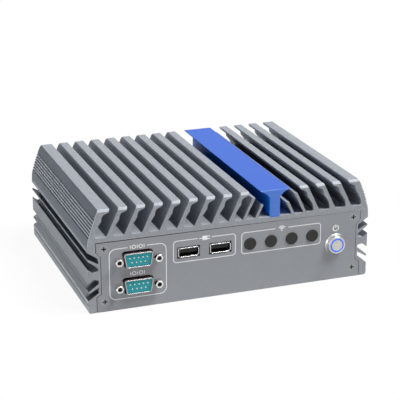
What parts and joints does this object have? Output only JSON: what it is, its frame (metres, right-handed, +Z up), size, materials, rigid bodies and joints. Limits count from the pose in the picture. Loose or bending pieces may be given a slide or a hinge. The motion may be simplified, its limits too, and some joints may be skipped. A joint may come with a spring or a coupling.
{
  "type": "fanless industrial computer",
  "caption": "Fanless box computer in a finned aluminium extrusion with a blue top bar, serial and USB ports, blanked antenna holes and a lit push button.",
  "frame": {"origin": "middle of the base, halfway between the front and rear jackscrew faces", "axes": "+X to the right seen from the front, +Y from the front panel towards the rear panel, +Z up"},
  "size_m": [0.185, 0.1516, 0.0654],
  "materials": {
    "grey_anodised": "satin",
    "front_grey": "matte",
    "blue_anodised": "satin",
    "screw_grey": "satin",
    "nickel": "polished",
    "zinc": "satin",
    "teal_plastic": "satin",
    "contact_metal": "polished",
    "black_plastic": "satin",
    "black_rubber": "matte",
    "bezel_chrome": "polished",
    "brushed_silver": "satin",
    "blue_light": "gloss",
    "spring_steel": "satin",
    "board_green": "satin",
    "brass_standoff": "satin",
    "plain_aluminium": "satin",
    "chip_black": "matte",
    "pad_grey": "matte"
  },
  "bodies": {
    "case": {"heatsink_housing": "grey_anodised", "blue_top_bar": "blue_anodised", "front_panel": "front_grey", "rear_panel": "front_grey", "bottom_cover": "front_grey", "front_panel_screws": "screw_grey", "rear_panel_screws": "screw_grey", "bottom_cover_screws": "screw_grey", "bottom_press_nuts": "zinc", "front_serial_shell_upper": "nickel", "front_serial_insert_upper": "teal_plastic", "front_serial_shell_lower": "nickel", "front_serial_insert_lower": "teal_plastic", "front_serial_pins": "contact_metal", "front_jackscrews": "nickel", "front_serial_board": "board_green", "rear_serial_shell_1": "nickel", "rear_serial_insert_1": "teal_plastic", "rear_serial_shell_2": "nickel", "rear_serial_insert_2": "teal_plastic", "rear_serial_shell_3": "nickel", "rear_serial_insert_3": "teal_plastic", "rear_serial_shell_4": "nickel", "rear_serial_insert_4": "teal_plastic", "rear_serial_pins": "contact_metal", "rear_jackscrews": "nickel", "rear_serial_board": "board_green", "front_usb_shell_1": "nickel", "front_usb_tongue_1": "black_plastic", "front_usb_shell_2": "nickel", "front_usb_tongue_2": "black_plastic", "antenna_hole_plug_1": "black_rubber", "antenna_hole_plug_2": "black_rubber", "antenna_hole_plug_3": "black_rubber", "antenna_hole_plug_4": "black_rubber", "power_button_bezel": "bezel_chrome", "power_button_nut": "zinc", "power_button_contact_block": "black_plastic", "power_button_spring": "spring_steel", "mainboard": "board_green", "board_standoffs": "brass_standoff", "board_screws": "zinc", "cpu_package": "chip_black", "thermal_pad": "pad_grey", "heat_spreader_block": "plain_aluminium", "memory_socket": "black_plastic", "memory_module": "board_green", "storage_socket": "black_plastic", "storage_module": "chip_black", "coin_cell": "zinc", "rear_usb_shell": "nickel", "rear_usb_tongues": "black_plastic", "lan_socket_1": "zinc", "lan_socket_2": "zinc", "hdmi_socket": "nickel", "dc_jack": "black_plastic"},
    "power_button": {"power_button_cap": "brushed_silver", "power_button_light_ring": "blue_light"}
  },
  "joints": [
    {"name": "power_button_press", "type": "slide", "parent": "case", "child": "power_button", "axis": [0, 1, 0], "range_m": [0, 0.0015], "stiffness_N_per_m": 2000, "springref_m": -0.0005, "deforming": ["power_button_spring"]}
  ]
}
